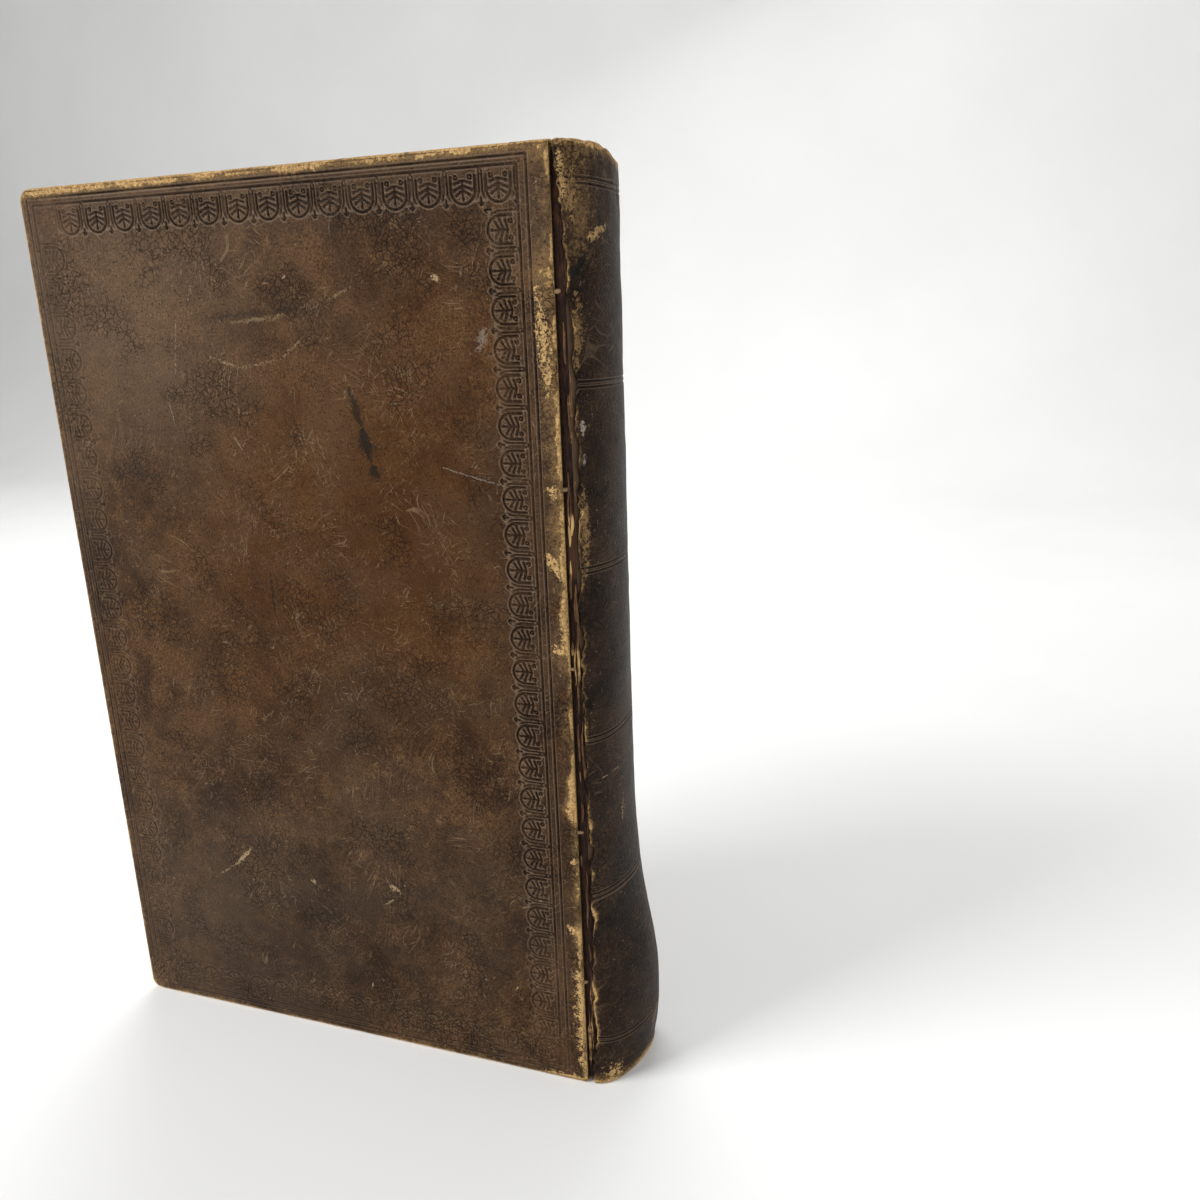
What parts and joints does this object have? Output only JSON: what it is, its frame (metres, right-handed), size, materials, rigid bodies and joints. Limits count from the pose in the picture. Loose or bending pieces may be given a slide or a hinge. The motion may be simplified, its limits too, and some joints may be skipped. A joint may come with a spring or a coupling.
{
  "type": "antique leather book",
  "caption": "Old full-leather book with blind-tooled boards, a smooth rounded spine, a cracked rear joint and covers that open on their joints.",
  "frame": {"origin": "under the middle of the closed book, on the tail edges that it stands on", "axes": "+Z from tail to head, +X out of the spine, +Y towards the front board; the rear board faces -Y"},
  "size_m": [0.1667, 0.035, 0.245],
  "materials": {
    "calf_leather": "satin",
    "millboard": "matte",
    "text_paper": "matte",
    "endpaper": "matte",
    "lining_paper": "matte",
    "endband_thread": "matte",
    "hemp_cord": "matte"
  },
  "bodies": {
    "block": {"text_block": "text_paper", "spine_leather": "calf_leather", "spine_lining": "lining_paper", "spine_hollow": "lining_paper", "head_endband": "endband_thread", "tail_endband": "endband_thread", "rear_flyleaf": "endpaper", "front_flyleaf": "endpaper", "sewing_cord_1": "hemp_cord", "sewing_cord_2": "hemp_cord", "sewing_cord_3": "hemp_cord", "sewing_cord_4": "hemp_cord", "sewing_cord_5": "hemp_cord"},
    "rear_cover": {"rear_board_leather": "calf_leather", "rear_board": "millboard", "rear_infill": "lining_paper", "rear_pastedown": "endpaper", "rear_cord_slips": "hemp_cord"},
    "front_cover": {"front_board_leather": "calf_leather", "front_board": "millboard", "front_infill": "lining_paper", "front_pastedown": "endpaper", "front_cord_slips": "hemp_cord"}
  },
  "joints": [
    {"name": "rear_joint", "type": "hinge", "parent": "block", "child": "rear_cover", "pos_m": [0.06866, -0.0175, 0], "axis": [0, 0, 1], "range_deg": [0, 180]},
    {"name": "front_joint", "type": "hinge", "parent": "block", "child": "front_cover", "pos_m": [0.06866, 0.0175, 0], "axis": [0, 0, -1], "range_deg": [0, 180]}
  ]
}
